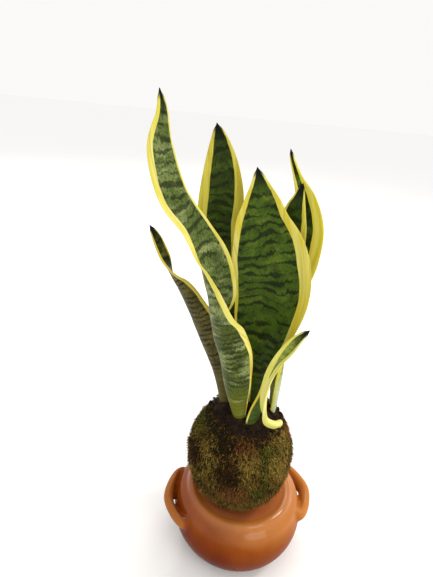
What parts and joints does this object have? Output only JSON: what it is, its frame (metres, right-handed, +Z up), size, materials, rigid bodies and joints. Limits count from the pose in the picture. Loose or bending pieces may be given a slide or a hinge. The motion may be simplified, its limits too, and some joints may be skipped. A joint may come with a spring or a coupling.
{
  "type": "snake plant kokedama in a pot",
  "caption": "Variegated snake plant growing from a moss-wrapped soil ball that rests in the mouth of a round earthenware pot with two lug handles.",
  "frame": {"origin": "centre of the pot's flat foot, on the surface that it stands on", "axes": "+Z up along the pot's axis, -Y towards the front, where the broad leaf shows its hollow side, +X to the right hand lug handle"},
  "size_m": [0.1676, 0.125, 0.4111],
  "materials": {
    "pot_glaze": "honey-orange glaze over red clay",
    "moss": "dry and green moss",
    "soil": "crumbly fibrous soil",
    "rhizome": "fleshy root stem",
    "leaf": "waxy leaf, green with dark bands and yellow margins"
  },
  "bodies": {
    "root": {"pot": "pot_glaze", "moss_skin": "moss", "soil_core": "soil", "rhizome": "rhizome", "tall_wavy_leaf": "leaf", "broad_front_leaf": "leaf", "back_left_leaf": "leaf", "back_right_leaf": "leaf", "right_inner_leaf": "leaf", "curled_young_leaf": "leaf", "left_low_leaf": "leaf"}
  },
  "joints": []
}
